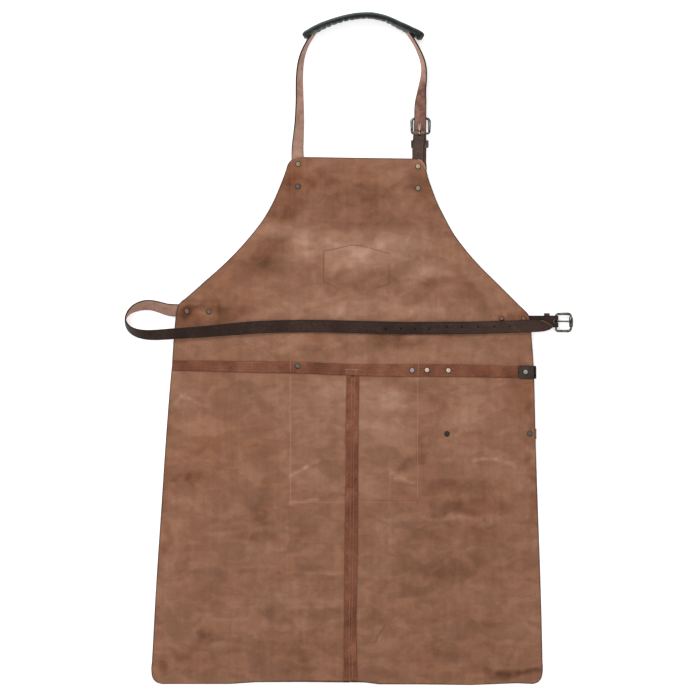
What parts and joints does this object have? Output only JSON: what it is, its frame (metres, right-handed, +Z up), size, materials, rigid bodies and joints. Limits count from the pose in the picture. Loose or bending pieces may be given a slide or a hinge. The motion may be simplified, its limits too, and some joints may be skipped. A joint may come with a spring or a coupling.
{
  "type": "grill apron",
  "caption": "Leather grill apron laid flat, flesh side up, with riveted straps, seam strips, a padded neck loop and buckles at neck and waist.",
  "frame": {"origin": "centre of the footprint on the floor it lies on", "axes": "+Y from the hem to the neck, +X to the side of the waist buckle, +Z up from the floor"},
  "size_m": [0.681, 1.022, 0.0271],
  "materials": {
    "suede": "rough flesh side",
    "seam_strip": "smooth reddish",
    "grain_leather": "dark waxed grain",
    "strap_leather": "strap leather",
    "pad_leather": "dark, soft sheen",
    "antique_nickel": "antique",
    "dark_rivet": "antique dark",
    "pale_rivet": "pale"
  },
  "bodies": {
    "apron": {"bib_panel": "suede", "skirt_panel_left": "suede", "skirt_panel_right": "suede", "waist_seam_strip": "seam_strip", "centre_seam_strip": "seam_strip", "front_pocket": "grain_leather", "upper_band": "grain_leather", "lower_band": "grain_leather", "neck_strap": "strap_leather", "neck_pad": "pad_leather", "neck_tab": "grain_leather", "neck_keeper": "grain_leather", "neck_buckle_frame": "antique_nickel", "neck_buckle_prong": "antique_nickel", "waist_strap": "strap_leather", "waist_tab": "grain_leather", "waist_keeper": "grain_leather", "rivet_neck_left_top": "pale_rivet", "rivet_neck_left_low": "pale_rivet", "rivet_neck_right_top": "pale_rivet", "rivet_neck_right_low": "pale_rivet", "rivet_waist_left_outer": "pale_rivet", "rivet_waist_left_inner": "pale_rivet", "rivet_waist_right_inner": "pale_rivet", "rivet_waist_right_outer": "pale_rivet", "rivet_pocket_left": "dark_rivet", "rivet_pocket_right": "dark_rivet", "rivet_upper_band_inner": "pale_rivet", "rivet_upper_band_middle": "pale_rivet", "rivet_upper_band_edge": "pale_rivet", "rivet_lower_band_inner": "dark_rivet", "rivet_lower_band_outer": "dark_rivet"},
    "waist_buckle": {"waist_buckle_frame": "antique_nickel"},
    "waist_roller": {"waist_buckle_roller": "antique_nickel"},
    "waist_prong": {"waist_buckle_prong": "antique_nickel"}
  },
  "joints": [
    {"name": "waist_buckle_swing", "type": "hinge", "parent": "apron", "child": "waist_buckle", "pos_m": [0.31467, 0.03984, 0.0045], "axis": [0, -1, 0], "range_deg": [0, 85]},
    {"name": "waist_prong_swing", "type": "hinge", "parent": "waist_buckle", "child": "waist_prong", "pos_m": [0.31467, 0.04169, 0.0045], "axis": [0, 1, 0], "range_deg": [0, 60]},
    {"name": "waist_roller_spin", "type": "hinge", "parent": "waist_buckle", "child": "waist_roller", "pos_m": [0.33747, 0.04049, 0.0056], "axis": [0, 1, 0], "continuous": true}
  ]
}
